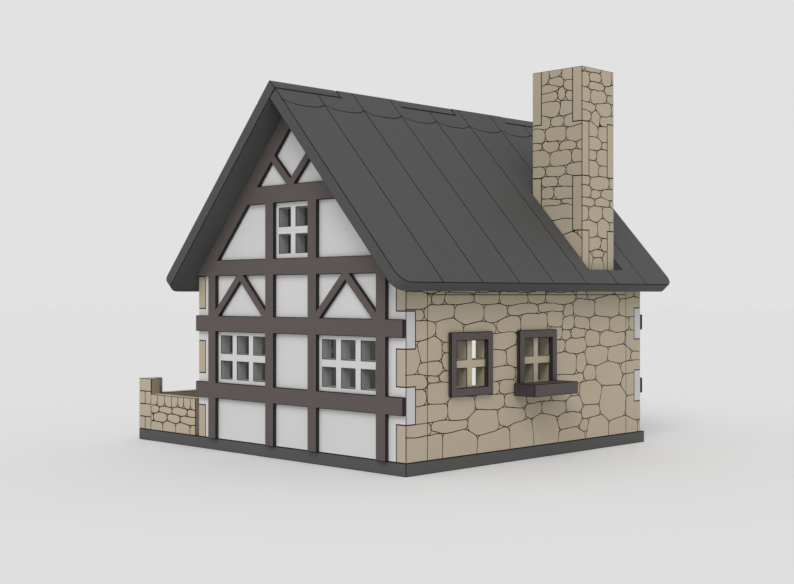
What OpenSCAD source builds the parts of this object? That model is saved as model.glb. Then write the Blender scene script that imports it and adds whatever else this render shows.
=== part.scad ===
// Half timbered house, a small model of finger jointed flat sheets on a base plate.
// The origin is the middle of the base plate's underside. The front gable faces -Y.

/* [Sheets] */
// Thickness of the base, wall, roof, chimney and garden sheets
sheet_t = 3; // [2:0.1:5]
// Thickness of the timber and window frame sheets
trim_t = 1; // [0.5:0.1:1.8]

/* [Base plate] */
// Width of the garden strip to the left of the house
garden_w = 27.8; // [20:0.1:40]
// Depth of the base plate behind the back gable
back_margin = 1.9; // [1.8:0.1:8]

/* [Walls] */
// Outer width of the house across the gables
house_w = 76.2; // [68:0.1:100]
// Outer length of the house along the side walls
house_d = 91.5; // [80:0.1:120]
// Height of the side walls above the base plate
wall_h = 42; // [38:0.1:50]
// Rise of the gables above the side walls
gable_rise = 42; // [38:0.1:50]
// Number of fingers up each corner of the house
wall_fingers = 5; // [3:2:9]

/* [Gable windows] */
// Width of one pane in the wide windows
pane_w = 4.6; // [3:0.1:4.8]
// Height of one pane
pane_h = 4.5; // [3:0.1:5]
// Width of the bars between panes
pane_bar = 2; // [1:0.1:3]
// Width of one pane in the attic window
attic_pane_w = 4.2; // [3:0.1:4.6]

/* [Back doorway] */
// Width of the doorway in the back gable
door_w = 12; // [8:0.1:13.5]
// Height of the threshold above the base plate
threshold_h = 1.5; // [1:0.1:3]
// Gap between the doorway's top and the middle beam
door_top_gap = 2.7; // [1:0.1:4]

/* [Side windows] */
// Width and height of a side window's opening
side_window = 10.8; // [8:0.1:13]
// Border of a side window's frame
side_border = 2; // [1:0.1:3]
// Height of the side windows' centres above the base plate
side_window_z = 21.2; // [19:0.1:25]
// Distance between the centres of two side windows
side_window_gap = 24.6; // [20:0.1:30]
// Length of the ledge below the middle window
ledge_l = 17.2; // [15:0.1:22]
// Depth of the ledge from the wall
ledge_d = 6.6; // [4:0.1:10]

/* [Timber frame] */
// Height of the beams
beam_h = 4.1; // [3:0.1:6]
// Height of the low beam's underside above the base plate
low_beam_z = 10.5; // [8:0.1:14]
// Height of the middle beam's underside above the base plate
mid_beam_z = 27.7; // [25:0.1:30]
// Height of the collar's underside above the base plate
collar_z = 59.6; // [58:0.1:64]
// Height of the collar
collar_h = 4.4; // [3:0.1:6]
// Width of the posts
post_w = 3.3; // [2:0.1:4]
// Distance from the middle of the gable to each inner post's centre
inner_post_x = 7.9; // [7:0.1:10]
// Distance from the middle of the gable to each outer post's centre
outer_post_x = 31.1; // [28:0.1:32]
// Width of the rafters
rafter_w = 4.3; // [3:0.1:6]
// Width of the slanted braces
brace_w = 2.1; // [1:0.1:3]

/* [Roof] */
// Length of the roof past each gable
roof_overhang = 7.4; // [3:0.1:15]
// Length of the roof past the side walls, along the slope
eave_overhang = 5.5; // [4:0.1:12]
// Radius of the roof's lower corners
eave_corner_r = 3.3; // [1:0.1:4]
// Number of fingers along the ridge
ridge_fingers = 5; // [3:2:9]

/* [Chimney] */
// Width of the chimney across the slope of the roof
chimney_w = 16.2; // [12:0.1:20]
// Depth of the chimney along the ridge
chimney_d = 14.1; // [11:0.1:20]
// Distance between the chimney and the back of the house
chimney_gap = 12.5; // [7:0.1:25]
// Height of the chimney's top above the base plate
chimney_top = 96.2; // [92:0.1:110]
// Height of one finger of the chimney's corners
chimney_finger = 14.1; // [10:0.1:20]
// Clearance between the chimney and its hole in the roof
chimney_clear = 0.3; // [0.1:0.1:0.8]

/* [Garden walls] */
// Height of the garden walls above the base plate
garden_wall_h = 9.8; // [6:0.1:12]
// Height of the corner pillars above the base plate
pillar_h = 14; // [13:0.1:20]
// Width of the corner pillars
pillar_w = 5.8; // [5:0.1:9]
// Number of fingers up each pillar
pillar_fingers = 4; // [2:2:8]
// Gap between a garden wall's end and the house
garden_gap = 1.5; // [0.5:0.1:5]

/* [Hidden] */
base_w = house_w + garden_w;
base_d = house_d + back_margin;
apex_z = wall_h + gable_rise;
roof_angle = atan2(gable_rise, house_w / 2);
slope_l = norm([house_w / 2, gable_rise]);
roof_l = house_d + 2 * roof_overhang;
ridge_tab = sheet_t / sin(2 * roof_angle);
collar_top = collar_z + collar_h;
side_frame = side_window + 2 * side_border;
side_pane = (side_window - pane_bar) / 2;
ledge_top = side_window_z - side_window / 2;
outer_bay_x = (inner_post_x + outer_post_x) / 2;
outer_bay_w = outer_post_x - inner_post_x - post_w;
gable_pane_z = (low_beam_z + beam_h + mid_beam_z) / 2;
attic_pane_z = (wall_h + beam_h + collar_z) / 2;
door_top = mid_beam_z - door_top_gap;
middle_y = 0;
front_window_y = -side_window_gap;
garden_wall_l = garden_w - garden_gap;
chimney_y = house_d / 2 - chimney_gap - chimney_d / 2;
corner_fn = 64;
cut = 1;

STONE = [0.68, 0.62, 0.53];
PLASTER = [0.80, 0.80, 0.80];
TIMBER = [0.36, 0.32, 0.31];
WINDOW = [0.34, 0.31, 0.31];
SLATE = [0.33, 0.33, 0.33];

// Places children made about the middle of the house, with z measured from the base plate's top.
module in_house() {
    translate([garden_w / 2, -back_margin / 2, sheet_t]) children();
}

// Stands an outline drawn in x and z upright, with its thickness running towards +Y.
module stand_across(thickness) {
    translate([0, thickness, 0]) rotate([90, 0, 0]) linear_extrude(thickness) children();
}

// Stands an outline drawn in y and z upright, with its thickness running towards +X.
module stand_along(thickness) {
    rotate([90, 0, 90]) linear_extrude(thickness) children();
}

// Cuts for every second finger up a right edge, drawn from the start of the other sheet outwards.
module finger_cuts(count, height, first) {
    for (k = [first : 2 : count - 1])
        translate([0, k * height / count]) square([sheet_t + cut, height / count]);
}

// Repeats children, drawn at the outer edge on the right, at both edges of an outline.
module both_edges() {
    children();
    mirror([1, 0]) children();
}

// A grid of panes about the origin.
module panes(columns, rows, w, h) {
    for (c = [0 : columns - 1], r = [0 : rows - 1])
        translate([(c - (columns - 1) / 2) * (w + pane_bar), (r - (rows - 1) / 2) * (h + pane_bar)])
            square([w, h], center = true);
}

module base_plate() {
    color(SLATE) translate([-base_w / 2, -base_d / 2, 0]) cube([base_w, base_d, sheet_t]);
}

module gable_outline() {
    half = house_w / 2;
    polygon([[-half, 0], [half, 0], [half, wall_h], [0, apex_z], [-half, wall_h]]);
}

module ground_window() {
    translate([outer_bay_x, gable_pane_z]) panes(3, 2, pane_w, pane_h);
}

module doorway() {
    translate([-outer_bay_x - door_w / 2, threshold_h]) square([door_w, door_top - threshold_h]);
}

// A gable with a window in each outer bay, or with a doorway in the bay on the garden's side.
module gable_wall(has_door) {
    difference() {
        gable_outline();
        both_edges() translate([house_w / 2 - sheet_t, 0]) finger_cuts(wall_fingers, wall_h, 0);
        ground_window();
        if (has_door) doorway();
        else mirror([1, 0]) ground_window();
        translate([0, attic_pane_z]) panes(2, 2, attic_pane_w, pane_h);
    }
}

module front_gable_wall() {
    color(PLASTER) in_house() translate([0, -house_d / 2, 0]) stand_across(sheet_t) gable_wall(false);
}

module back_gable_wall() {
    color(PLASTER) in_house() translate([0, house_d / 2 - sheet_t, 0]) stand_across(sheet_t) gable_wall(true);
}

module side_wall() {
    difference() {
        translate([-house_d / 2, 0]) square([house_d, wall_h]);
        both_edges() translate([house_d / 2 - sheet_t, 0]) finger_cuts(wall_fingers, wall_h, 1);
        for (y = [front_window_y, middle_y]) translate([y, side_window_z]) panes(2, 2, side_pane, side_pane);
    }
}

module right_side_wall() {
    color(STONE) in_house() translate([house_w / 2 - sheet_t, 0, 0]) stand_along(sheet_t) side_wall();
}

module left_side_wall() {
    color(STONE) in_house() translate([-house_w / 2, 0, 0]) stand_along(sheet_t) side_wall();
}

// A pair of braces that leaves one point at 45 degrees to either side, upwards or downwards.
module brace_pair(direction, reach) {
    for (side = [-1, 1])
        rotate(direction * (90 + side * 45)) translate([0, -brace_w / 2]) square([reach, brace_w]);
}

// The triangle inside the rafters.
module inside_rafters() {
    polygon([
        [-house_w / 2 + rafter_w / sin(roof_angle), wall_h],
        [house_w / 2 - rafter_w / sin(roof_angle), wall_h],
        [0, apex_z - rafter_w / cos(roof_angle)]
    ]);
}

// The low beam, which leaves out the bay of a doorway.
module low_beam(has_door) {
    difference() {
        translate([-house_w / 2, low_beam_z]) square([house_w, beam_h]);
        if (has_door) translate([-outer_bay_x - outer_bay_w / 2, low_beam_z - cut])
            square([outer_bay_w, beam_h + 2 * cut]);
    }
}

module upper_beams() {
    translate([-house_w / 2, mid_beam_z]) square([house_w, beam_h]);
    intersection() {
        gable_outline();
        union() {
            translate([-house_w / 2, wall_h]) square([house_w, beam_h]);
            translate([-house_w / 2, collar_z]) square([house_w, collar_h]);
        }
    }
}

module posts() {
    both_edges() {
        translate([outer_post_x - post_w / 2, 0]) square([post_w, wall_h + beam_h]);
        translate([inner_post_x - post_w / 2, 0]) square([post_w, collar_top]);
    }
}

module braces() {
    both_edges() intersection() {
        translate([outer_bay_x - outer_bay_w / 2 - cut, mid_beam_z])
            square([outer_bay_w + 2 * cut, wall_h - mid_beam_z + cut]);
        translate([outer_bay_x, wall_h]) brace_pair(-1, outer_bay_w);
    }
    intersection() {
        gable_outline();
        translate([0, collar_top]) brace_pair(1, gable_rise / 2);
    }
}

module rafters() {
    difference() {
        gable_outline();
        translate([-house_w / 2, 0]) square([house_w, wall_h]);
        inside_rafters();
    }
}

module timber_frame(has_door) {
    low_beam(has_door);
    upper_beams();
    posts();
    braces();
    rafters();
}

module front_timber_frame() {
    color(TIMBER) in_house()
        translate([0, -house_d / 2 - trim_t, 0]) stand_across(trim_t) timber_frame(false);
}

module back_timber_frame() {
    color(TIMBER) in_house() translate([0, house_d / 2, 0]) stand_across(trim_t) timber_frame(true);
}

// A roof sheet, drawn with x down the slope from the apex and y along the ridge.
module roof_sheet(first_finger) {
    finger = roof_l / ridge_fingers;
    length = slope_l + eave_overhang;
    translate([0, -roof_l / 2]) {
        square([length - eave_corner_r, roof_l]);
        translate([0, eave_corner_r]) square([length, roof_l - 2 * eave_corner_r]);
        for (y = [eave_corner_r, roof_l - eave_corner_r])
            translate([length - eave_corner_r, y]) circle(eave_corner_r, $fn = corner_fn);
        for (k = [first_finger : 2 : ridge_fingers - 1])
            translate([-ridge_tab, k * finger]) square([ridge_tab + cut, finger]);
    }
}

// The slanted sheet is thicker along x than the chimney is wide, so its hole is longer.
module chimney_hole() {
    upper = (house_w / 2 - chimney_w - sheet_t * sin(roof_angle)) / cos(roof_angle) - chimney_clear;
    lower = slope_l + chimney_clear;
    translate([upper, chimney_y - chimney_d / 2 - chimney_clear])
        square([lower - upper, chimney_d + 2 * chimney_clear]);
}

module lay_on_slope() {
    translate([0, 0, apex_z]) rotate([0, roof_angle, 0]) linear_extrude(sheet_t) children();
}

module right_roof_panel() {
    color(SLATE) in_house() lay_on_slope() difference() {
        roof_sheet(1);
        chimney_hole();
    }
}

module left_roof_panel() {
    color(SLATE) in_house() mirror([1, 0, 0]) lay_on_slope() roof_sheet(0);
}

// One side of the chimney, as wide as the whole chimney in every second band from the top.
module chimney_side(width, first_wide) {
    bands = ceil((chimney_top - wall_h) / chimney_finger);
    for (k = [0 : bands - 1]) {
        wide = k % 2 == first_wide;
        high = chimney_top - k * chimney_finger;
        low = max(wall_h, high - chimney_finger);
        w = wide ? width : width - 2 * sheet_t;
        translate([-w / 2, low]) square([w, high - low]);
    }
}

module in_chimney() {
    in_house() translate([house_w / 2 - chimney_w / 2, chimney_y, 0]) children();
}

module chimney_front() {
    color(STONE) in_chimney()
        translate([0, -chimney_d / 2, 0]) stand_across(sheet_t) chimney_side(chimney_w, 1);
}

module chimney_back() {
    color(STONE) in_chimney()
        translate([0, chimney_d / 2 - sheet_t, 0]) stand_across(sheet_t) chimney_side(chimney_w, 1);
}

module chimney_right() {
    color(STONE) in_chimney()
        translate([chimney_w / 2 - sheet_t, 0, 0]) stand_along(sheet_t) chimney_side(chimney_d, 0);
}

module chimney_left() {
    color(STONE) in_chimney()
        translate([-chimney_w / 2, 0, 0]) stand_along(sheet_t) chimney_side(chimney_d, 0);
}

module window_frame() {
    difference() {
        square(side_frame, center = true);
        square(side_window, center = true);
    }
}

// A frame without its lower bar, because it stands on the ledge.
module window_frame_on_ledge() {
    difference() {
        window_frame();
        translate([-side_frame / 2 - cut, -side_frame / 2 - cut])
            square([side_frame + 2 * cut, side_border + cut]);
    }
}

module on_side_wall(y) {
    translate([house_w / 2, y, side_window_z]) stand_along(trim_t) children();
}

module right_window_frame_front() {
    color(WINDOW) in_house() on_side_wall(front_window_y) window_frame();
}

module right_window_frame_middle() {
    color(WINDOW) in_house() on_side_wall(middle_y) window_frame_on_ledge();
}

module right_window_ledge() {
    color(WINDOW) in_house() translate([house_w / 2, middle_y - ledge_l / 2, ledge_top - sheet_t])
        cube([ledge_d, ledge_l, sheet_t]);
}

module left_window_frame_front() {
    color(WINDOW) in_house() mirror([1, 0, 0]) on_side_wall(front_window_y) window_frame();
}

module left_window_frame_middle() {
    color(WINDOW) in_house() mirror([1, 0, 0]) on_side_wall(middle_y) window_frame();
}

// Places children drawn from the base plate's left front corner, on its top.
module in_garden() {
    translate([-base_w / 2, -base_d / 2, sheet_t]) children();
}

// A garden wall that crosses the strip, with its pillar at the left and the side wall's fingers cut out.
module garden_cross_wall() {
    difference() {
        union() {
            square([garden_wall_l, garden_wall_h]);
            square([pillar_w, pillar_h]);
        }
        translate([sheet_t, 0]) mirror([1, 0]) finger_cuts(pillar_fingers, pillar_h, 0);
    }
}

module garden_front_wall() {
    color(STONE) in_garden() stand_across(sheet_t) garden_cross_wall();
}

module garden_back_wall() {
    color(STONE) in_garden() translate([0, base_d - sheet_t, 0]) stand_across(sheet_t) garden_cross_wall();
}

// The garden's side wall, drawn about the middle of its length.
module garden_long_wall() {
    end = base_d / 2;
    inner = end - pillar_w;
    difference() {
        polygon([
            [-end, 0], [end, 0], [end, pillar_h], [inner, pillar_h], [inner, garden_wall_h],
            [-inner, garden_wall_h], [-inner, pillar_h], [-end, pillar_h]
        ]);
        both_edges() translate([end - sheet_t, 0]) finger_cuts(pillar_fingers, pillar_h, 1);
    }
}

module garden_side_wall() {
    color(STONE) in_garden() translate([0, base_d / 2, 0]) stand_along(sheet_t) garden_long_wall();
}

base_plate();
front_gable_wall();
back_gable_wall();
right_side_wall();
left_side_wall();
front_timber_frame();
back_timber_frame();
right_roof_panel();
left_roof_panel();
chimney_front();
chimney_back();
chimney_right();
chimney_left();
right_window_frame_front();
right_window_frame_middle();
right_window_ledge();
left_window_frame_front();
left_window_frame_middle();
garden_front_wall();
garden_side_wall();
garden_back_wall();
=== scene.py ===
"""Finishes the half timbered house model: engraved stones and boards, sheet finishes, studio and camera."""

import math
from collections import namedtuple

import bmesh
import bpy
from mathutils import Matrix, Vector


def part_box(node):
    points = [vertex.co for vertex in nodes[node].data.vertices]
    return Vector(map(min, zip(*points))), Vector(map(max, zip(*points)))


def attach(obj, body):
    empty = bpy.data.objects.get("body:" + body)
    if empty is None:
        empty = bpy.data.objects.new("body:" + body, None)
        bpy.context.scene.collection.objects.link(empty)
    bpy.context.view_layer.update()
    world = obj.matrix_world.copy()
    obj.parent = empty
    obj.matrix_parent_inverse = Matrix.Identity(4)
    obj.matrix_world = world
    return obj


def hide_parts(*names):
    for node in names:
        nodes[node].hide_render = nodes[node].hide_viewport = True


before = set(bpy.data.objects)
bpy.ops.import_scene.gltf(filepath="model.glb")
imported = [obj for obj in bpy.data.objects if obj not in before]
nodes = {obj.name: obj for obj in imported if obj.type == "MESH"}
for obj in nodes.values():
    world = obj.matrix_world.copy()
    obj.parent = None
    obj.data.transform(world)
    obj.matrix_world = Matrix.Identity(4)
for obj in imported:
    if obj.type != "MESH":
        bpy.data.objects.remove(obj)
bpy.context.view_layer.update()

MM = 0.001
X, Y, Z = Vector((1, 0, 0)), Vector((0, 1, 0)), Vector((0, 0, 1))


# Sizes in millimetres

GROOVE_DEPTH = 0.25
EDGE_WIDTH = 0.15
# How far a cutting slab stands out of the sheet, and the heights of raised plates and of what cuts them
SLAB_PROUD = 1.0
PLATE_HEIGHT = 4.0
CUTTER_HEIGHT = 6.0
# The length of one straight piece of a wavy outline
WAVE_STEP = 0.6
# The lines scored near a side wall's ends and top
SCORE_WIDTH = 0.2
SCORE_INSET = 6.9
SCORE_HEIGHT = 37.2
SCORE_OVERRUN = 1.0
# The plain square round a side window
PLAIN_WINDOW = 11.6
# The roof's boards: the joint, where the scallops end and how far they sag, and the drawing's reach
BOARD_JOINT = 0.27
SCALLOP_END = 3.8
SCALLOP_SAG = 1.5
BOARD_RUN = 64
PAST_RIDGE = 6
PAST_VERGE = 3
BOARD_SLAB_INSET = 1
# The garden walls' pillars, and the run of stones that repeats along the long wall
PILLAR_WIDTH = 5.8
GARDEN_REPEAT = 18.6
REPEAT_OVERLAP = 0.5
# Stones whose middles lie further apart than this don't meet
NEAR_ACROSS = 30
NEAR_UPWARDS = 20


# Counts and exponents

ROOF_BOARDS = 8
PILLAR_COURSES = 4
SCALLOP_STEPS = 14
CORNER_STEPS = 4
# At 2 a stone is an ellipse and a scallop a parabola, and above that they are squarer
STONE_SQUARENESS = 2.5
SCALLOP_SQUARENESS = 3


# Limits of the clean-up

# In square millimetres
SMALLEST_ISLAND = 0.05
# In metres
WELD_DISTANCE = 1e-7
# In radians
FLAT_ANGLE = 0.01
SHARP_ANGLE = math.radians(30)


# Kinds of stonework

# The radius rounds a stone's corners, and the waviness is how far its edges wander. The margins are how far a
# drawing and its cutting slab run past the sheet. All are in millimetres but the density, in waves a metre
Stonework = namedtuple("Stonework", "joint radius waviness wave_density drawing_margin slab_margin")

WALL_STONEWORK = Stonework(
    joint=0.2, radius=1.1, waviness=2.2, wave_density=120, drawing_margin=6, slab_margin=3)
CHIMNEY_STONEWORK = Stonework(
    joint=0.2, radius=1.25, waviness=2.4, wave_density=150, drawing_margin=4, slab_margin=2)
GARDEN_STONEWORK = Stonework(
    joint=0.24, radius=1.0, waviness=0.6, wave_density=240, drawing_margin=3, slab_margin=2)


# Node trees

class Value:
    """An output of a node. Arithmetic on it adds Math nodes to its tree."""

    def __init__(self, graph, socket):
        self.graph = graph
        self.socket = socket

    def math(self, operation, *operands):
        return self.graph.add("ShaderNodeMath", {"operation": operation}, dict(enumerate(operands)))[0]

    def __add__(self, other):
        return self.math("ADD", self, other)

    def __radd__(self, other):
        return self.math("ADD", other, self)

    def __sub__(self, other):
        return self.math("SUBTRACT", self, other)

    def __rsub__(self, other):
        return self.math("SUBTRACT", other, self)

    def __mul__(self, other):
        return self.math("MULTIPLY", self, other)

    def __rmul__(self, other):
        return self.math("MULTIPLY", other, self)

    def __gt__(self, other):
        return self.math("GREATER_THAN", self, other)

    def __abs__(self):
        return self.math("ABSOLUTE", self)


class Made:
    """A node just added, whose outputs are read by name or number."""

    def __init__(self, graph, node):
        self.graph = graph
        self.node = node

    def __getitem__(self, output):
        return Value(self.graph, self.node.outputs[output])


class Graph:
    """A node tree that is built one call at a time."""

    def __init__(self, tree):
        self.tree = tree

    def add(self, kind, settings=None, inputs=None):
        """Adds a node, sets its properties first, and then sets or links its inputs."""
        node = self.tree.nodes.new(kind)
        for name, setting in (settings or {}).items():
            setattr(node, name, setting)
        for name, given in (inputs or {}).items():
            if isinstance(given, Value):
                self.tree.links.new(given.socket, node.inputs[name])
            else:
                node.inputs[name].default_value = given
        return Made(self, node)

    def mix(self, factor, first, second):
        """A colour between two colours."""
        return self.add("ShaderNodeMix", {"data_type": "RGBA"}, {0: factor, 6: first, 7: second})[2]

    def tint(self, colour, tone):
        """A constant colour made lighter or darker by a number."""
        return self.add("ShaderNodeVectorMath", {"operation": "SCALE"}, {0: colour[:3], "Scale": tone})[0]

    def noise(self, where, scale, detail=2.0):
        return self.add("ShaderNodeTexNoise", None, {"Vector": where, "Scale": scale, "Detail": detail})[0]

    def stretched(self, where, scale):
        """Coordinates that are scaled by a different number along each axis."""
        return self.add("ShaderNodeMapping", None, {"Vector": where, "Scale": scale})[0]


# Materials

def linear(red, green, blue):
    """A colour written as the 0 to 255 numbers that it shows on a screen."""
    parts = [part / 255 for part in (red, green, blue)]
    return tuple(p / 12.92 if p <= 0.04045 else ((p + 0.055) / 1.055) ** 2.4 for p in parts) + (1.0,)


def new_finish(name):
    material = bpy.data.materials.new(name)
    material.use_nodes = True
    material.node_tree.nodes.clear()
    return material, Graph(material.node_tree)


def close_finish(graph, colour, roughness, height, depth, gloss=0.3):
    """Joins colour, roughness and surface relief to a shader, and that to the output."""
    relief = graph.add("ShaderNodeBump", None, {
        "Strength": 0.5, "Distance": depth, "Height": height})["Normal"]
    shader = graph.add("ShaderNodeBsdfPrincipled", None, {
        "Base Color": colour, "Roughness": roughness, "Specular IOR Level": gloss, "Normal": relief})["BSDF"]
    graph.add("ShaderNodeOutputMaterial", None, {"Surface": shader})


def painted_sheet(name, colour, cloud=0.05, speckle=0.05, roughness=0.75, ends=None):
    """Matt paint on fibreboard: fine speckle, faint clouds and a slightly uneven skin.

    The faces towards the left and right may be painted a darker colour of their own, as painted shade.
    """
    material, graph = new_finish(name)
    place = graph.add("ShaderNodeTexCoord")
    where = place["Object"]
    fibre = graph.noise(where, scale=2400, detail=3.0)
    skin = graph.noise(where, scale=420)
    patch = graph.noise(where, scale=75)
    tone = 1 + (fibre - 0.5) * speckle * 2 + (patch - 0.5) * cloud * 2
    paint = graph.tint(colour, tone)
    # Left and right faces darker: painted shade
    if ends:
        sides = graph.add("ShaderNodeSeparateXYZ", None, {0: place["Normal"]})
        paint = graph.mix(abs(sides["X"]) > 0.5, paint, graph.tint(ends, tone))
    close_finish(graph, paint, roughness + (patch - 0.5) * 0.16, fibre * 0.5 + skin, depth=0.00006)
    return material


def scorched_groove(name, colour):
    """The burnt bottom and sides of an engraved line, darker in some stretches than in others."""
    material, graph = new_finish(name)
    where = graph.add("ShaderNodeTexCoord")["Object"]
    burn = graph.noise(where, scale=300, detail=3.0)
    scorched = graph.tint(colour, 0.8 + burn * 0.4)
    close_finish(graph, scorched, 0.9 - burn * 0.1, burn, depth=0.00004, gloss=0.1)
    return material


def burnt_edge_trim(name, face_colour, edge_colour, face_axis):
    """Thin stained sheet with a faint grain, whose cut edges are burnt dark."""
    material, graph = new_finish(name)
    place = graph.add("ShaderNodeTexCoord")
    sides = graph.add("ShaderNodeSeparateXYZ", None, {0: place["Normal"]})
    edge = 1 - (abs(sides[face_axis]) > 0.5)
    grain = graph.noise(graph.stretched(place["Object"], (1.0, 1.0, 9.0)), scale=160, detail=4.0)
    fibre = graph.noise(place["Object"], scale=2200, detail=3.0)
    tone = 1 + (grain - 0.5) * 0.22 + (fibre - 0.5) * 0.10
    colour = graph.mix(edge, graph.tint(face_colour, tone), graph.tint(edge_colour, tone))
    roughness = 0.68 + (grain - 0.5) * 0.14 + edge * 0.15
    close_finish(graph, colour, roughness, grain + fibre * 0.4, depth=0.00005)
    return material


STONE = painted_sheet("beige_stone_sheet", linear(184, 171, 149), cloud=0.07, speckle=0.05)
STONE_LINE = scorched_groove("beige_stone_groove", linear(46, 39, 31))
# Darker stone as painted shade, for the sides of the window holes and the inside of the flue
SHADED_STONE = painted_sheet("shaded_stone_sheet", linear(158, 148, 128), cloud=0.07, speckle=0.05)
# Darker stone as painted shade, for the garden walls' faces towards the house
SHADED_GARDEN_STONE = painted_sheet("shaded_garden_sheet", linear(148, 139, 121), cloud=0.07, speckle=0.05)
ROOM = painted_sheet("grey_room_sheet", linear(128, 127, 125), cloud=0.07, speckle=0.05)
PLASTER_EDGE = scorched_groove("burnt_plaster_edge", linear(70, 68, 66))
# Grey as painted shade, for the sides of the holes in the gables
SHADED_PLASTER = painted_sheet("shaded_plaster_sheet", linear(150, 150, 150), cloud=0.05, speckle=0.05)
TRIM_EDGE = scorched_groove("burnt_trim_edge", linear(26, 23, 22))
# The white sheet's left and right faces a little darker: painted shade on the gables' sides
PLASTER = painted_sheet("white_plaster_sheet", linear(212, 212, 212), cloud=0.03, speckle=0.03,
                        ends=linear(200, 200, 200))
ROOF = painted_sheet("dark_roof_sheet", linear(75, 75, 75), cloud=0.08, speckle=0.07, roughness=0.7)
ROOF_LINE = scorched_groove("dark_roof_groove", linear(30, 30, 30))
BASE = painted_sheet("dark_base_sheet", linear(82, 82, 82), cloud=0.08, speckle=0.07, roughness=0.7)
TIMBER = burnt_edge_trim("brown_timber_sheet", linear(90, 82, 80), linear(44, 39, 38), "Y")
WINDOW = burnt_edge_trim("brown_window_sheet", linear(86, 77, 77), linear(50, 45, 44), "X")
# The ledge's +X face takes the face colour, its other faces the dark one: burnt on the ends, painted shade on
# the top and bottom
LEDGE = burnt_edge_trim("brown_ledge_board", linear(86, 77, 77), linear(66, 58, 58), "X")


# Stones as they lie in the walls, in millimetres: left end, right end, bottom and top of each

# The right wall, from its front corner
SIDE_WALL_STONES = (
    (-3, 11.6, -3, 5.4), (11.7, 23.7, -3, 5.7), (23.9, 35.6, -3, 4.9), (35.8, 44.6, -3, 6.9),
    (44.8, 54.8, -3, 7.1), (55, 65.7, -3, 3.4), (66.6, 76.2, -3, 6), (76.7, 89.9, -3, 4.3),
    (90.2, 96, -3, 3.7), (63.9, 68.2, 2.2, 5.1), (-3, 7.9, 5.5, 8.3), (8.1, 20.7, 6, 8.4),
    (21, 31.2, 4.4, 9.8), (31.5, 41.6, 5.8, 10), (41.9, 48.1, 7.2, 10.6), (48.3, 57.9, 7.2, 10.4),
    (54.8, 64.6, 3.6, 7.5), (58.3, 64.8, 7.3, 11.2), (64.9, 72.4, 5.2, 8.6), (72.8, 84.2, 4.5, 13.4),
    (84.5, 96, 4.1, 10), (-3, 13.1, 8.5, 12.3), (13.4, 22.8, 8.5, 13.6), (23, 33.8, 9.9, 13.5),
    (34, 42, 10.2, 13.4), (42, 51.6, 10.8, 13.4), (52, 60, 10.9, 13.4), (63.8, 72.9, 8.6, 14.6),
    (60, 63.6, 11.4, 14.4), (-3, 6.4, 12.5, 15.8), (6.8, 14.6, 12.6, 17.4), (15, 26.6, 13.8, 17),
    (27, 31.7, 13.7, 16.7), (32, 38, 13.7, 16.9), (38, 52, 13.7, 16.9), (52, 65.4, 14.5, 17),
    (65.6, 70.8, 14.8, 18.6), (71.1, 82.4, 13.1, 19.2), (82.8, 96, 10.6, 16), (-3, 6.6, 16, 19.3),
    (6.9, 10.7, 17.6, 19), (10.9, 20, 17.4, 20), (20, 27, 17, 20), (27, 38, 17.1, 20.2),
    (38, 51, 17, 20), (52, 62.2, 17.3, 22.5), (62.4, 66.4, 17, 22), (66.9, 76.1, 19, 23.7),
    (82.4, 96, 16.2, 19.3), (-3, 3.9, 19.6, 25.4), (4, 11.8, 19.2, 22.1), (12, 20, 20.3, 23.8),
    (20, 27, 20.2, 24), (27, 34.2, 20.4, 24), (34.4, 42, 20.5, 24.9), (42, 52, 20.3, 24),
    (52, 57.6, 22.8, 25.5), (58.1, 66.3, 22.3, 25.9), (76.4, 86.7, 19.3, 23.6), (87, 96, 19.6, 22),
    (4.3, 11.4, 22.3, 27.3), (11.7, 20, 24, 26.2), (20, 27, 24.2, 27), (27, 38.3, 24.3, 28.3),
    (38.5, 52, 24.3, 27.3), (52, 56.3, 25.8, 29.3), (56.6, 59.9, 25.9, 28.2), (60.2, 65.9, 26.2, 28.7),
    (66.3, 72.5, 23.9, 27.7), (73.1, 83.9, 23.7, 27.3), (84.3, 96, 22.3, 27.4), (-3, 9.2, 27, 31.3),
    (9.4, 18.9, 26.6, 31.7), (19.2, 31.5, 27.4, 30.4), (30.6, 39.5, 28.5, 32), (39.9, 50, 27.6, 32.6),
    (50.3, 57, 28, 32.9), (56.4, 61.2, 28.3, 31.5), (61.6, 68.2, 28.2, 31.5), (68.5, 77.3, 27.9, 31.7),
    (77.7, 85.8, 27.3, 31.4), (86.1, 96, 27.3, 31.4), (-3, 5.4, 31.5, 33.9), (5.8, 15.8, 31.5, 35.1),
    (16, 26.2, 30.7, 34.9), (26.5, 34.9, 31, 35), (35.1, 46.5, 32.3, 35.1), (46.9, 57, 33, 35.2),
    (57.3, 61, 31.8, 35), (61.3, 69.9, 31.8, 36.1), (70.6, 81.2, 31.5, 37.2), (81.8, 96, 31.6, 36.3),
    (-3, 8.2, 34.2, 37.4), (8.5, 12.5, 35.3, 37.7), (12.9, 22.2, 35, 37.4), (22.5, 31.8, 34.9, 37.8),
    (32.1, 42.8, 34.6, 37.9), (43.1, 49.9, 35.3, 37.9), (50.2, 62, 35.2, 37.9),
    (62.3, 66.7, 36.4, 38.2), (67.3, 78, 36.3, 40.5), (80, 88.5, 36.8, 41), (88.8, 96, 36.8, 41),
    (-3, 3, 37.8, 42), (3.3, 13.2, 38, 43), (13.5, 23.5, 37.8, 43), (23.8, 31.5, 38.2, 43),
    (31.8, 42, 38.2, 43), (42.3, 49, 38.2, 43), (49.4, 57.5, 38.2, 43), (57.8, 66.4, 38.5, 43),
)

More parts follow.
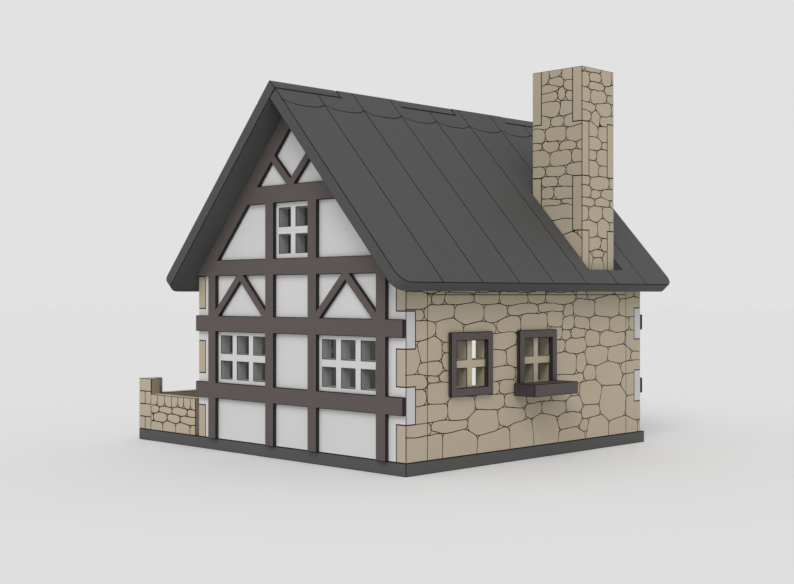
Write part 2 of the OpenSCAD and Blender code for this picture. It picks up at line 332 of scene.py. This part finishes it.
# The chimney's front, from its left edge and its foot
CHIMNEY_FRONT_STONES = (
    (3, 5.4, 50.9, 55), (5.4, 9.7, 52.7, 55.5), (5.6, 10, 49.4, 52.4), (9.9, 14, 51.1, 55.5),
    (3, 8.4, 48.5, 50.6), (10.3, 14, 48.3, 50.9), (8.3, 10.6, 46.4, 49), (3, 8.2, 46, 48.4),
    (10.8, 14, 45.7, 48.2), (3, 8.9, 42.4, 45.7), (9.1, 14, 42.4, 45.6), (-1, 6, 39.2, 42.2),
    (6.2, 10.6, 39.4, 41.8), (10.8, 17, 39.2, 42.2), (-1, 3.9, 35.4, 38.9), (4.1, 11, 35.6, 39.1),
    (11.1, 17, 35.3, 38.8), (-1, 2.9, 33.3, 35.3), (3.1, 8.7, 33.2, 35.6), (8.9, 14.5, 33, 35.2),
    (14.7, 17, 33, 35.2), (-1, 5.8, 29.1, 33), (6.1, 12.6, 28.9, 32.7), (12.8, 17, 29.2, 32.7),
    (-1, 4.4, 26.2, 28.8), (4.6, 11, 26.3, 28.8), (11.3, 17, 26.1, 29.1), (-1, 2.9, 20, 26),
    (3, 8.4, 23.5, 26), (8.6, 14, 23.3, 26), (3, 7.2, 20.4, 23.2), (7.4, 14, 20.4, 23.1),
    (0, 9.2, 18.4, 20.2), (9.4, 14, 18.9, 20.1), (3, 14, 14.9, 18.6), (0, 6.2, 10, 14.6),
    (6.5, 12.6, 11.4, 14.6), (10.4, 16.8, 5, 10.9), (15.4, 18.4, 9.4, 12.2), (3, 9.8, 5, 9.8),
    (10, 17, 1, 4.8),
)

# The chimney's right side, from its front edge and its foot
CHIMNEY_SIDE_STONES = (
    (-1, 1.1, 52.8, 56), (1.3, 8.3, 53, 56), (8.5, 13, 50.6, 55.5), (13.2, 15, 50.9, 55.5),
    (-1, 2.9, 49.5, 52.4), (3.1, 8.2, 50.9, 52.8), (2.9, 9.8, 49.1, 50.7), (10, 15, 48.3, 50.4),
    (-1, 3.4, 45.2, 48.8), (3.6, 10.9, 45.4, 48.8), (11.1, 15, 46.1, 48.1), (-1, 5.8, 42.9, 45),
    (6.2, 13, 42.2, 45.8), (13.2, 15, 42.2, 46), (-1, 4.1, 40.3, 42.7), (4.3, 7.8, 39.8, 43.4),
    (8, 15, 39.4, 42), (1, 6.8, 36.3, 39.7), (7.1, 13, 35.3, 39.1), (1, 8.2, 32.8, 36.1),
    (8.5, 13, 33.1, 35), (1, 6.3, 30, 32.5), (6.5, 13, 29, 32.9), (1, 7.2, 26.3, 29.7),
    (7.4, 13, 26.2, 28.8), (-1, 3.5, 23.7, 26), (3.7, 11.6, 22.9, 26), (11.8, 15, 23.4, 26),
    (-1, 3.8, 20.7, 23.4), (3.9, 8.5, 20.6, 22.6), (8.7, 15, 20.3, 23), (-1, 5.4, 18.2, 20.4),
    (5.6, 12.2, 18, 20.2), (12.4, 15, 18.2, 20.2), (-1, 2.8, 14.5, 17.9), (3, 9, 14.6, 18),
    (9.2, 15, 14.8, 17.9), (-1, 6.6, 10.3, 14.3), (6.9, 12, 9.9, 14.7), (12.2, 15, 11.9, 14.4),
    (1, 7.8, 6.8, 10), (8, 13, 6.6, 9.7), (4, 10, 4.8, 6.5), (1, 4.4, 2.8, 6), (4.8, 9, 1.5, 4.4),
    (9.2, 13, 2, 6.2),
)

# The garden's front wall to the right of its pillar, with the coping last
GARDEN_STONES = (
    (5.2, 11.4, -2, 2.3), (11.6, 17.3, -2, 2.6), (17.7, 23.7, -2, 2.6), (24, 28.7, -2, 2.4),
    (3.7, 6.8, 2.5, 4.7), (6.9, 13.2, 2.6, 4.9), (13.6, 19.3, 2.8, 4.7), (19.8, 28.7, 2.7, 4.7),
    (4.2, 9.6, 4.9, 6.8), (9.9, 15.5, 5.1, 6.7), (15.8, 22.4, 4.9, 6.8), (22.7, 28.7, 4.8, 6.6),
    (5.2, 8.7, 7, 11), (8.9, 12.2, 6.9, 11), (12.4, 15.3, 6.9, 11), (15.6, 18.3, 7, 11),
    (18.6, 20.9, 7, 11), (21.2, 23.9, 7, 11), (24.2, 28.7, 6.9, 11),
)


# Flat drawings of stones and boards, in millimetres

def keep_side(outline, point, away):
    """The part of a convex outline that lies behind a line through a point."""
    kept = []
    for start, end in zip(outline, outline[1:] + outline[:1]):
        a, b = (start - point).dot(away), (end - point).dot(away)
        if a <= 0:
            kept.append(start)
        if (a < 0 < b) or (b < 0 < a):
            kept.append(start.lerp(end, a / (a - b)))
    return kept


def rectangle(low_u, low_v, high_u, high_v):
    return [Vector(p) for p in ((low_u, low_v), (high_u, low_v), (high_u, high_v), (low_u, high_v))]


def reach(half_size, away):
    """The share of a way from a stone's middle that lies inside its rounded box."""
    across = abs(away.x / half_size.x) ** STONE_SQUARENESS
    upwards = abs(away.y / half_size.y) ** STONE_SQUARENESS
    return (across + upwards) ** (-1 / STONE_SQUARENESS)


def joint_between(stone, other, inset):
    """The edge of a stone towards another one: a point on it, and its direction away from the stone."""
    middle, half_size = stone
    other_middle, other_half_size = other
    away = other_middle - middle
    mine, theirs = reach(half_size, away), reach(other_half_size, away)
    mean = (half_size + other_half_size) / 2
    lean = Vector([math.copysign(abs(a / m) ** (STONE_SQUARENESS - 1), a) / m for a, m in zip(away, mean)])
    lean.normalize()
    return middle + away * mine / (mine + theirs) - lean * inset, lean


def stone_outlines(boxes, field, inset):
    """An outline for each stone, which stops short of the joints' middles by an inset."""
    stones = [(Vector((left + right, low + high)) / 2, Vector((right - left, high - low)) / 2)
              for left, right, low, high in boxes]
    outlines = []
    for stone in stones:
        outline = field
        for other in stones:
            away = other[0] - stone[0]
            if other is not stone and abs(away.x) < NEAR_ACROSS and abs(away.y) < NEAR_UPWARDS:
                outline = keep_side(outline, *joint_between(stone, other, inset))
        if len(outline) > 2:
            outlines.append(outline)
    return outlines


def apart(outlines):
    """The outlines in a few groups, in which no two overlap."""
    groups = []
    for outline in outlines:
        low = [min(p[axis] for p in outline) for axis in (0, 1)]
        high = [max(p[axis] for p in outline) for axis in (0, 1)]
        for group in groups:
            if all(high[0] < a[0] or b[0] < low[0] or high[1] < a[1] or b[1] < low[1] for _, a, b in group):
                group.append((outline, low, high))
                break
        else:
            groups.append([(outline, low, high)])
    return [[outline for outline, _, _ in group] for group in groups]


def turned_over(boxes, width):
    """The same stones, seen in a mirror across a wall's width."""
    return [(width - right, width - left, low, high) for left, right, low, high in boxes]


# Solid pieces

def drawing(name, outlines):
    """A mesh of flat faces, one for each outline."""
    mesh = bpy.data.meshes.new(name)
    points = [(p.x * MM, p.y * MM, 0) for outline in outlines for p in outline]
    faces, first = [], 0
    for outline in outlines:
        faces.append(range(first, first + len(outline)))
        first += len(outline)
    mesh.from_pydata(points, [], faces)
    piece = bpy.data.objects.new(name, mesh)
    bpy.context.scene.collection.objects.link(piece)
    return piece


def plate_tree():
    """Turns flat outlines into plates with rounded corners and slightly wavy edges."""
    tree = bpy.data.node_groups.new("rounded plates", "GeometryNodeTree")
    face = tree.interface
    for name, kind in (("Outlines", "NodeSocketGeometry"), ("Corner radius", "NodeSocketFloat"),
                       ("Waviness", "NodeSocketFloat"), ("Wave density", "NodeSocketFloat"),
                       ("Thickness", "NodeSocketFloat"), ("Seed", "NodeSocketFloat"),
                       ("Finish", "NodeSocketMaterial")):
        face.new_socket(name, in_out="INPUT", socket_type=kind)
    face.new_socket("Plates", in_out="OUTPUT", socket_type="NodeSocketGeometry")
    graph = Graph(tree)
    given = graph.add("NodeGroupInput")
    edges = graph.add("GeometryNodeMeshToCurve", None, {"Mesh": given["Outlines"]})["Curve"]
    rounded = graph.add("GeometryNodeFilletCurve", {"mode": "POLY"}, {
        "Curve": edges, "Radius": given["Corner radius"], "Limit Radius": True, "Count": CORNER_STEPS,
    })["Curve"]
    even = graph.add("GeometryNodeResampleCurve", {"mode": "LENGTH"}, {
        "Curve": rounded, "Length": WAVE_STEP * MM})["Curve"]
    fine = graph.add("GeometryNodeSwitch", {"input_type": "GEOMETRY"}, {
        "Switch": given["Waviness"] > 0.0, "False": rounded, "True": even})["Output"]
    where = graph.add("GeometryNodeInputPosition")["Position"]
    drift = graph.add("ShaderNodeTexNoise", {"noise_dimensions": "4D"}, {
        "Vector": where, "W": given["Seed"], "Scale": given["Wave density"], "Detail": 2.0})["Color"]
    centred = graph.add("ShaderNodeVectorMath", {"operation": "SUBTRACT"}, {0: drift, 1: (0.5, 0.5, 0.5)})[0]
    level = graph.add("ShaderNodeVectorMath", {"operation": "MULTIPLY"}, {0: centred, 1: (1.0, 1.0, 0.0)})[0]
    offset = graph.add("ShaderNodeVectorMath", {"operation": "SCALE"}, {
        0: level, "Scale": given["Waviness"]})[0]
    wavy = graph.add("GeometryNodeSetPosition", None, {"Geometry": fine, "Offset": offset})["Geometry"]
    flat = graph.add("GeometryNodeFillCurve", {"mode": "NGONS"}, {"Curve": wavy})["Mesh"]
    raised = graph.add("GeometryNodeExtrudeMesh", {"mode": "FACES"}, {
        "Mesh": flat, "Offset": (0.0, 0.0, 1.0), "Offset Scale": given["Thickness"], "Individual": False,
    })["Mesh"]
    under = graph.add("GeometryNodeFlipFaces", None, {"Mesh": flat})["Mesh"]
    joined = graph.add("GeometryNodeJoinGeometry")
    for part in (raised, under):
        tree.links.new(part.socket, joined.node.inputs[0])
    closed = graph.add("GeometryNodeMergeByDistance", None, {
        "Geometry": joined["Geometry"], "Distance": WELD_DISTANCE})["Geometry"]
    real = graph.add("GeometryNodeRealizeInstances", None, {"Geometry": closed})["Geometry"]
    finished = graph.add("GeometryNodeSetMaterial", None, {
        "Geometry": real, "Material": given["Finish"]})["Geometry"]
    graph.add("NodeGroupOutput", None, {"Plates": finished})
    return tree


PLATE_TREE = plate_tree()


def apply_modifiers(piece):
    """Makes the piece's own mesh what its modifiers show, and removes them."""
    shown = piece.evaluated_get(bpy.context.evaluated_depsgraph_get())
    mesh = bpy.data.meshes.new_from_object(shown)
    piece.modifiers.clear()
    piece.data = mesh


def plates(name, outlines, finish, radius=0.0, waviness=0.0, wave_density=0.0, thickness=PLATE_HEIGHT,
           seed=0.0):
    """Upright plates over flat outlines, centred on the drawing's plane."""
    piece = drawing(name, outlines)
    tree = piece.modifiers.new("plates", "NODES")
    tree.node_group = PLATE_TREE
    values = {"Corner radius": radius * MM, "Waviness": waviness * MM, "Wave density": wave_density,
              "Thickness": thickness * MM, "Seed": seed, "Finish": finish}
    for item in PLATE_TREE.interface.items_tree:
        if item.in_out == "INPUT" and item.name in values:
            tree[item.identifier] = values[item.name]
    apply_modifiers(piece)
    piece.data.transform(Matrix.Translation((0, 0, -thickness * MM / 2)))
    return piece


def block(name, low, high, finish):
    """A box between two corners, in millimetres."""
    shape = bmesh.new()
    bmesh.ops.create_cube(shape, size=1.0)
    low, high = Vector(low) * MM, Vector(high) * MM
    for vertex in shape.verts:
        vertex.co = Vector([(a + b) / 2 + c * (b - a) for a, b, c in zip(low, high, vertex.co)])
    mesh = bpy.data.meshes.new(name)
    shape.to_mesh(mesh)
    shape.free()
    mesh.materials.append(finish)
    piece = bpy.data.objects.new(name, mesh)
    bpy.context.scene.collection.objects.link(piece)
    return piece


def cut(piece, tool):
    """Takes the tool's solid away from the piece and deletes the tool."""
    step = piece.modifiers.new("cut", "BOOLEAN")
    step.operation = "DIFFERENCE"
    step.solver = "MANIFOLD"
    step.material_mode = "TRANSFER"
    step.object = tool
    apply_modifiers(piece)
    bpy.data.objects.remove(tool)


def hole_sides(shape):
    """The faces that line a sheet's holes: each ring of side faces but the largest, which is the outline."""
    faces = sorted(shape.faces, key=lambda face: face.calc_area())
    out = faces[-1].normal
    sides = {face for face in faces if abs(face.normal.dot(out)) < 0.5}
    rings = []
    while sides:
        ring, found = [], [sides.pop()]
        while found:
            face = found.pop()
            ring.append(face)
            for edge in face.edges:
                for near in edge.link_faces:
                    if near in sides:
                        sides.remove(near)
                        found.append(near)
        rings.append(ring)
    rings.sort(key=lambda ring: sum(face.calc_area() for face in ring))
    return [face for ring in rings[:-1] for face in ring]


def finished_sheet(node, paint, edge, lining=None, inner=None, middle=None):
    """The CAD node's solid with narrow burnt chamfers.

    Hole sides and faces towards the middle of the enclosed space may have their own finishes, some painted
    shade.
    """
    shape = bmesh.new()
    shape.from_mesh(nodes[node].data)
    bmesh.ops.remove_doubles(shape, verts=shape.verts, dist=WELD_DISTANCE)
    bmesh.ops.dissolve_limit(shape, angle_limit=FLAT_ANGLE, verts=shape.verts, edges=shape.edges)
    painted, burnt, lined, facing_in = range(4)
    for face in shape.faces:
        face.material_index = painted
    if inner:
        for face in shape.faces:
            if abs(face.normal.z) < 0.5 and face.normal.dot(middle - face.calc_center_median()) > 0:
                face.material_index = facing_in
    if lining:
        for face in hole_sides(shape):
            face.material_index = lined
    corners = [e for e in shape.edges if e.is_convex and e.calc_face_angle() > SHARP_ANGLE]
    bmesh.ops.bevel(shape, geom=corners, offset=EDGE_WIDTH * MM, offset_type="OFFSET", segments=1,
                    profile=0.5, affect="EDGES", clamp_overlap=True, material=burnt)
    mesh = bpy.data.meshes.new("finished_" + node)
    shape.to_mesh(mesh)
    shape.free()
    for finish in (paint, edge, lining or paint, inner or paint):
        mesh.materials.append(finish)
    piece = bpy.data.objects.new("finished_" + node, mesh)
    bpy.context.scene.collection.objects.link(piece)
    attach(piece, "root")
    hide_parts(node)
    return piece


class Side:
    """One outer face of a sheet: where its drawing's zero lies, its two directions and the way out."""

    def __init__(self, origin, u, v):
        self.origin = origin
        self.u = u
        self.v = v
        self.out = u.cross(v)

    def matrix(self):
        turned = Matrix((self.u, self.v, self.out)).transposed().to_4x4()
        return Matrix.Translation(self.origin) @ turned


def upright_side(node, facing):
    """The outer face of an upright sheet, drawn from its lower left corner as seen from outside."""
    low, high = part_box(node)
    corner, u = {
        "+X": ((high.x, low.y, low.z), Y),
        "-X": ((low.x, high.y, low.z), -Y),
        "-Y": ((low.x, low.y, low.z), X),
        "+Y": ((high.x, high.y, low.z), -X),
    }[facing]
    return Side(Vector(corner), u, Z)


def drop_specks(piece):
    """Removes the loose solids that are too small to see."""
    shape = bmesh.new()
    shape.from_mesh(piece.data)
    waiting = set(shape.verts)
    while waiting:
        solid, found = [], [waiting.pop()]
        while found:
            vertex = found.pop()
            solid.append(vertex)
            for edge in vertex.link_edges:
                near = edge.other_vert(vertex)
                if near in waiting:
                    waiting.remove(near)
                    found.append(near)
        faces = {face for vertex in solid for face in vertex.link_faces}
        top = sum(face.calc_area() for face in faces if face.normal.z > 0.5)
        if top < SMALLEST_ISLAND * MM * MM:
            bmesh.ops.delete(shape, geom=solid, context="VERTS")
    shape.to_mesh(piece.data)
    shape.free()
    return piece


def raised_stones(name, boxes, field, work, seed):
    """Plates for the stones, and for the islands that their rounded corners leave at the junctions."""
    waves = {"waviness": work.waviness, "wave_density": work.wave_density, "seed": seed}
    low, high = field[0], field[2]
    islands = block(name + "_islands", (*low, -PLATE_HEIGHT / 2), (*high, PLATE_HEIGHT / 2), STONE_LINE)
    for group in apart(stone_outlines(boxes, field, -work.joint / 2)):
        cut(islands, plates(name + "_tool", group, STONE_LINE, radius=work.radius + work.joint,
                            thickness=CUTTER_HEIGHT, **waves))
    stones = stone_outlines(boxes, field, work.joint / 2)
    return [plates(name + "_stones", stones, STONE_LINE, radius=work.radius, **waves), drop_specks(islands)]


def slab(name, span, finish):
    """A thin block over a drawing, as deep in the sheet as a groove."""
    low, high = span
    return block(name, (*low, -GROOVE_DEPTH), (*high, SLAB_PROUD), finish)


def groove_web(name, span, raised, finish):
    """A slab less the plates that stay raised: what is left is the engraved lines."""
    web = slab(name, span, finish)
    for plate in raised:
        cut(web, plate)
    return web


def engrave(piece, side, span, raised, finish, lines=()):
    """Cuts the lines between raised plates, and separate straight lines, into one side of a sheet."""
    tools = [groove_web(piece.name + "_web", span, raised, finish)]
    tools += [slab(piece.name + "_line", line, finish) for line in lines]
    for tool in tools:
        tool.data.transform(side.matrix())
        cut(piece, tool)


def extent(node, side):
    """The width and height of a node's outer face, in millimetres."""
    low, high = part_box(node)
    size = high - low
    return abs(size.dot(side.u)) / MM, abs(size.dot(side.v)) / MM


def past_sheet(width, height, margin):
    """The lower left and upper right corners of a sheet's face, moved out by a margin."""
    return (-margin, -margin), (width + margin, height + margin)


# Stone walls

def window_squares(node, side):
    """The plain square round each window opening, whose edge lies under the window frame.

    A frame's middle is found from its top and its width, because one of them is cut short by the ledge.
    """
    word = "right" if node.startswith("right") else "left"
    half = PLAIN_WINDOW / 2
    squares = []
    for name in (f"{word}_window_frame_front", f"{word}_window_frame_middle"):
        low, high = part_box(name)
        u = ((low + high) / 2 - side.origin).dot(side.u) / MM
        v = (high - side.origin).dot(side.v) / MM - (high.y - low.y) / MM / 2
        squares.append(rectangle(u - half, v - half, u + half, v + half))
    return squares


def middle_of(*names):
    """The middle of the space between nodes."""
    corners = [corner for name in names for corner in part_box(name)]
    return sum(corners, Vector()) / len(corners)


HOUSE_MIDDLE = middle_of("right_side_wall", "left_side_wall")
FLUE_MIDDLE = middle_of("chimney_right", "chimney_left")


def stone_sheet(node, inner, middle):
    """A stone sheet whose holes are lined with darker stone as painted shade, with its own finish towards a
    middle.
    """
    return finished_sheet(node, STONE, STONE_LINE, SHADED_STONE, inner, middle)


def stone_side_wall(node, facing, seed):
    """Side wall: stones all over but for a square at each window, and scored lines at the ends and top."""
    work = WALL_STONEWORK
    side = upright_side(node, facing)
    width, height = extent(node, side)
    boxes = SIDE_WALL_STONES if facing == "+X" else turned_over(SIDE_WALL_STONES, width)
    low, high = past_sheet(width, height, work.drawing_margin)
    raised = raised_stones(node, boxes, rectangle(*low, *high), work, seed)
    raised.append(plates(node + "_windows", window_squares(node, side), STONE_LINE))
    half = SCORE_WIDTH / 2
    lines = [((u - half, -SCORE_OVERRUN), (u + half, height + SCORE_OVERRUN))
             for u in (SCORE_INSET, width - SCORE_INSET)]
    lines.append(((SCORE_INSET, SCORE_HEIGHT - half), (width - SCORE_INSET, SCORE_HEIGHT + half)))
    sheet = stone_sheet(node, ROOM, HOUSE_MIDDLE)
    engrave(sheet, side, past_sheet(width, height, work.slab_margin), raised, STONE_LINE, lines)


def chimney_plate(node, facing, boxes, mirrored, seed):
    """One side of the chimney, with stones all over."""
    work = CHIMNEY_STONEWORK
    side = upright_side(node, facing)
    width, height = extent(node, side)
    stones = turned_over(boxes, width) if mirrored else boxes
    low, high = past_sheet(width, height, work.drawing_margin)
    raised = raised_stones(node, stones, rectangle(*low, *high), work, seed)
    # The flue's inner faces get the darker stone too, as painted shade
    sheet = stone_sheet(node, SHADED_STONE, FLUE_MIDDLE)
    engrave(sheet, side, past_sheet(width, height, work.slab_margin), raised, STONE_LINE)


def repeated(boxes, repeats):
    """A run of stones, laid again and again along a wall."""
    start = PILLAR_WIDTH - REPEAT_OVERLAP
    run = [box for box in boxes if start < (box[0] + box[1]) / 2 < start + GARDEN_REPEAT]
    return [(left + k * GARDEN_REPEAT, right + k * GARDEN_REPEAT, low, high)
            for k in range(repeats) for left, right, low, high in run]


def pillar_blocks(width, height, pillars):
    """The squared blocks of the pillars at a garden wall's left end, right end or both."""
    margin = GARDEN_STONEWORK.drawing_margin
    half = GARDEN_STONEWORK.joint / 2
    course = height / PILLAR_COURSES
    blocks = []
    for k in range(PILLAR_COURSES):
        low = k * course + half if k else -margin
        high = (k + 1) * course - half if k < PILLAR_COURSES - 1 else height + margin
        if pillars != "right":
            blocks.append(rectangle(-margin, low, PILLAR_WIDTH - half, high))
        if pillars != "left":
            blocks.append(rectangle(width - PILLAR_WIDTH + half, low, width + margin, high))
    return blocks


def garden_wall(node, facing, pillars, seed):
    """Low wall: upright coping stones over rubble, and squared blocks on its pillars."""
    work = GARDEN_STONEWORK
    side = upright_side(node, facing)
    width, height = extent(node, side)
    if pillars == "both":
        boxes = repeated(GARDEN_STONES, round(width / GARDEN_REPEAT))
    elif pillars == "right":
        boxes = turned_over(GARDEN_STONES, width)
    else:
        boxes = GARDEN_STONES
    low, high = past_sheet(width, height, work.drawing_margin)
    left = low[0] if pillars == "right" else PILLAR_WIDTH + work.joint / 2
    right = high[0] if pillars == "left" else width - PILLAR_WIDTH - work.joint / 2
    raised = raised_stones(node, boxes, rectangle(left, low[1], right, high[1]), work, seed)
    raised.append(plates(node + "_blocks", pillar_blocks(width, height, pillars), STONE_LINE))
    # The garden wall's faces towards the house get darker stone, painted shade
    sheet = stone_sheet(node, SHADED_GARDEN_STONE, HOUSE_MIDDLE)
    engrave(sheet, side, past_sheet(width, height, work.slab_margin), raised, STONE_LINE)


stone_side_wall("right_side_wall", "+X", seed=7)
stone_side_wall("left_side_wall", "-X", seed=11)
chimney_plate("chimney_front", "-Y", CHIMNEY_FRONT_STONES, mirrored=False, seed=3)
chimney_plate("chimney_back", "+Y", CHIMNEY_FRONT_STONES, mirrored=True, seed=5)
chimney_plate("chimney_right", "+X", CHIMNEY_SIDE_STONES, mirrored=False, seed=4)
chimney_plate("chimney_left", "-X", CHIMNEY_SIDE_STONES, mirrored=True, seed=6)
garden_wall("garden_front_wall", "-Y", "left", seed=2)
garden_wall("garden_back_wall", "+Y", "right", seed=8)
garden_wall("garden_side_wall", "-X", "both", seed=9)


# Roof

def roof_side(node, towards):
    """The top face of a roof panel, with v up the slope from the ridge's corner."""
    low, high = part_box("front_gable_wall")
    wall_low, wall_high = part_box("right_side_wall")
    apex = Vector(((low.x + high.x) / 2, 0, high.z))
    angle = math.atan2(high.z - wall_high.z, (high.x - low.x) / 2)
    thickness = wall_high.x - wall_low.x
    out = Vector((towards * math.sin(angle), 0, math.cos(angle)))
    panel_low, panel_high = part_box(node)
    start = panel_low.y if towards > 0 else panel_high.y
    up = Vector((-towards * math.cos(angle), 0, math.sin(angle)))
    return Side(apex + out * thickness + Y * start, Y * towards, up)


def scallop(low_u, high_u):
    """The curved line across one board below the ridge, drawn from right to left."""
    points = []
    for k in range(SCALLOP_STEPS + 1):
        t = 1 - 2 * k / SCALLOP_STEPS
        u = (low_u + high_u) / 2 + t * (high_u - low_u) / 2
        points.append(Vector((u, -SCALLOP_END - SCALLOP_SAG * (1 - abs(t) ** SCALLOP_SQUARENESS))))
    return points


def boarded_roof(node, towards):
    """Boards down the slope, each with a scalloped line below the ridge."""
    side = roof_side(node, towards)
    low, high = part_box(node)
    length = (high.y - low.y) / MM
    board = length / ROOF_BOARDS
    half = BOARD_JOINT / 2
    outlines = []
    for k in range(ROOF_BOARDS):
        left = k * board + half if k else -PAST_VERGE
        right = (k + 1) * board - half if k < ROOF_BOARDS - 1 else length + PAST_VERGE
        curve = [p for p in scallop(k * board, (k + 1) * board) if left < p.x < right]
        curve = [Vector((right, -SCALLOP_END))] + curve + [Vector((left, -SCALLOP_END))]
        below = [p - Vector((0, half)) for p in curve]
        above = [p + Vector((0, half)) for p in reversed(curve)]
        outlines.append([Vector((left, -BOARD_RUN)), Vector((right, -BOARD_RUN))] + below)
        outlines.append(above + [Vector((right, PAST_RIDGE)), Vector((left, PAST_RIDGE))])
    raised = [plates(node + "_boards", outlines, ROOF_LINE)]
    panel = finished_sheet(node, ROOF, ROOF_LINE)
    past_verge = PAST_VERGE - BOARD_SLAB_INSET
    span = (-past_verge, BOARD_SLAB_INSET - BOARD_RUN), (length + past_verge, PAST_RIDGE - BOARD_SLAB_INSET)
    engrave(panel, side, span, raised, ROOF_LINE)


boarded_roof("right_roof_panel", towards=1)
boarded_roof("left_roof_panel", towards=-1)


# Sheets without engraving

finished_sheet("base_plate", BASE, ROOF_LINE)
# The sides of the gables' holes get grey as painted shade
for gable in ("front_gable_wall", "back_gable_wall"):
    finished_sheet(gable, PLASTER, PLASTER_EDGE, SHADED_PLASTER, ROOM, HOUSE_MIDDLE)
for timber_frame in ("front_timber_frame", "back_timber_frame"):
    finished_sheet(timber_frame, TIMBER, TRIM_EDGE)
for window_frame in ("right_window_frame_front", "right_window_frame_middle",
                     "left_window_frame_front", "left_window_frame_middle"):
    finished_sheet(window_frame, WINDOW, TRIM_EDGE)
finished_sheet("right_window_ledge", LEDGE, TRIM_EDGE)


# Studio

def studio_floor():
    """A wide pale disc under the model."""
    shape = bmesh.new()
    bmesh.ops.create_circle(shape, cap_ends=True, segments=96, radius=4.0)
    mesh = bpy.data.meshes.new("studio_floor")
    shape.to_mesh(mesh)
    shape.free()
    floor = bpy.data.objects.new("studio_floor", mesh)
    bpy.context.scene.collection.objects.link(floor)
    material, graph = new_finish("pale_floor")
    shader = graph.add("ShaderNodeBsdfPrincipled", None, {
        "Base Color": linear(231, 231, 231), "Roughness": 0.9, "Specular IOR Level": 0.1})["BSDF"]
    graph.add("ShaderNodeOutputMaterial", None, {"Surface": shader})
    mesh.materials.append(material)


def studio_world():
    """Even light from all sides, with a plain pale background for the camera and for reflections."""
    world = bpy.data.worlds.new("studio_world")
    bpy.context.scene.world = world
    world.use_nodes = True
    world.node_tree.nodes.clear()
    graph = Graph(world.node_tree)
    path = graph.add("ShaderNodeLightPath")
    seen = path["Is Camera Ray"] + path["Is Glossy Ray"] + path["Is Transmission Ray"]
    colour = graph.mix(seen, linear(255, 255, 255), linear(226, 226, 226))
    surround = 0.66
    strength = surround + seen * (1 - surround)
    background = graph.add("ShaderNodeBackground", None, {
        "Color": colour, "Strength": strength})["Background"]
    graph.add("ShaderNodeOutputWorld", None, {"Surface": background})


def soft_sun(name, direction, strength, spread):
    """A distant lamp that shines from a direction, with soft shadows."""
    lamp = bpy.data.lights.new(name, "SUN")
    lamp.energy = strength
    lamp.angle = math.radians(spread)
    light = bpy.data.objects.new(name, lamp)
    light.rotation_mode = "QUATERNION"
    light.rotation_quaternion = Vector(direction).to_track_quat("Z", "Y")
    bpy.context.scene.collection.objects.link(light)


def room_light(name, place, strength):
    """A faint lamp inside the house, so that its rooms aren't black behind the open panes."""
    lamp = bpy.data.lights.new(name, "POINT")
    lamp.energy = strength
    lamp.shadow_soft_size = 0.006
    light = bpy.data.objects.new(name, lamp)
    light.location = HOUSE_MIDDLE + Vector(place) * MM
    light.visible_camera = False
    bpy.context.scene.collection.objects.link(light)


def photo_camera():
    """The photograph's view: nearly level, from the right front, worked out for a picture 794 pixels wide."""
    picture_width, focal_pixels = 794, 1240.4
    from_corner = Vector((190.55, -195.51, 40.27)) * MM
    tilt, turn = math.radians(90.114), math.radians(44.682)
    low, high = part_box("base_plate")
    data = bpy.data.cameras.new("photo_camera")
    data.sensor_width = 36
    data.lens = focal_pixels / picture_width * data.sensor_width
    data.clip_start, data.clip_end = 0.01, 20
    camera = bpy.data.objects.new("photo_camera", data)
    camera.location = Vector((high.x, low.y, 0)) + from_corner
    camera.rotation_euler = (tilt, 0, turn)
    bpy.context.scene.collection.objects.link(camera)
    bpy.context.scene.camera = camera


studio_floor()
studio_world()
soft_sun("key_light", direction=(0.42, -0.62, 0.72), strength=1.25, spread=30)
room_light("middle_light", place=(0, 0, 11), strength=0.014)
room_light("corner_light", place=(27, -31, 8), strength=0.002)
photo_camera()
bpy.context.scene.view_settings.view_transform = "Standard"
